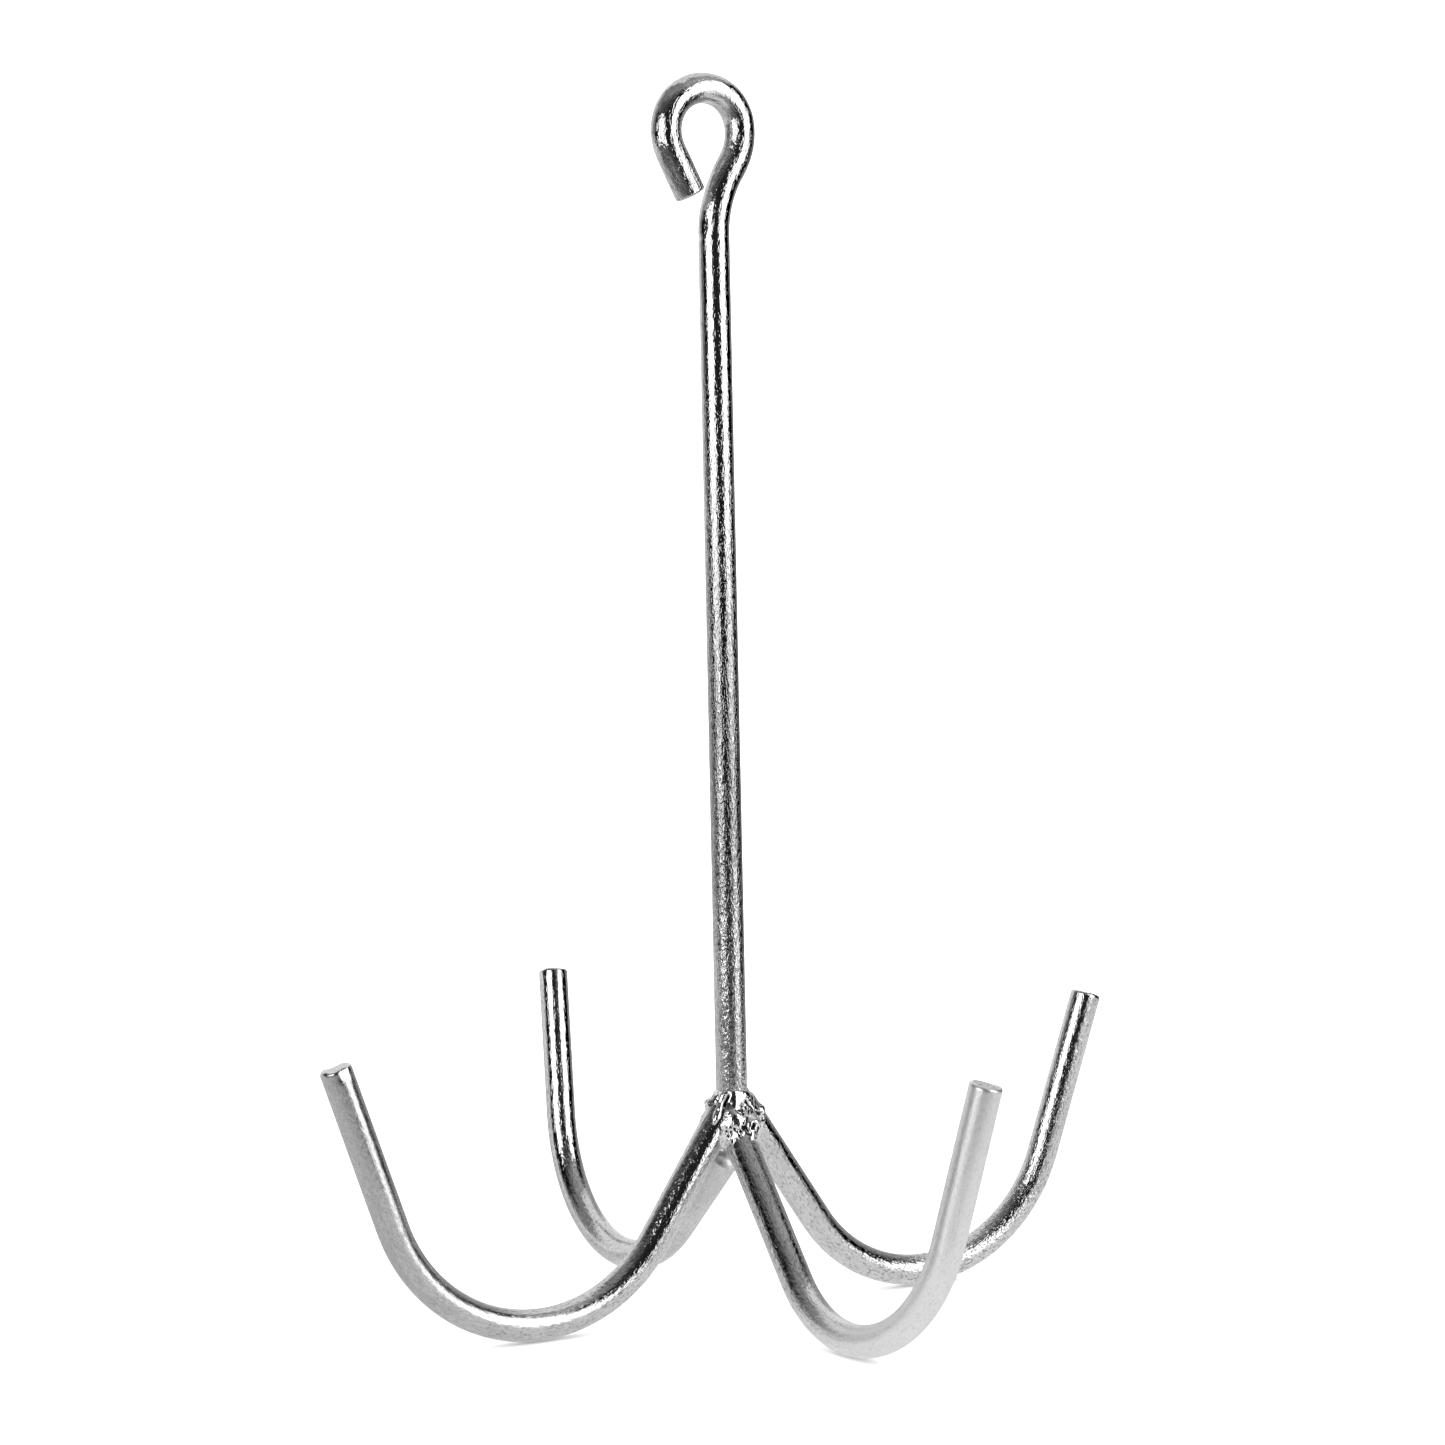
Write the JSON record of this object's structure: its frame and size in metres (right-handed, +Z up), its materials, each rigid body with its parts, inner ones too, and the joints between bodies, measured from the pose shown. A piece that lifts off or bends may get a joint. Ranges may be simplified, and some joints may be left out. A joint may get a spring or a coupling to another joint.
{
  "type": "grapnel hook",
  "caption": "Grapnel-style hanging hook of round plated steel bar: a straight shank bent into an eye at the top, with upturned blunt prongs welded round its foot.",
  "frame": {"origin": "the middle of the bounding box's footprint, level with the undersides of the three bends the hook stands on; the shank's axis stands at x -0.1 mm, y 0.7 mm", "axes": "+Z up along the shank towards the eye; the eye and the left and right prongs lie in the XZ plane, with the right prong towards +X and the back prong towards +Y"},
  "size_m": [0.1758, 0.1692, 0.2453],
  "materials": {
    "bright_plate": "bright zinc plate, streaked along the bar, lightly pitted",
    "satin_plate": "satin zinc plate, fine streaks along the bar",
    "weld_metal": "plated weld bead, lumpy, with small craters and spatter"
  },
  "bodies": {
    "root": {"shank_with_eye": "bright_plate", "prong_right": "bright_plate", "prong_back": "bright_plate", "prong_left": "satin_plate", "prong_front": "satin_plate", "weld_back_right": "weld_metal", "weld_back_left": "weld_metal", "weld_front_left": "weld_metal", "weld_front_right": "weld_metal"}
  },
  "joints": []
}
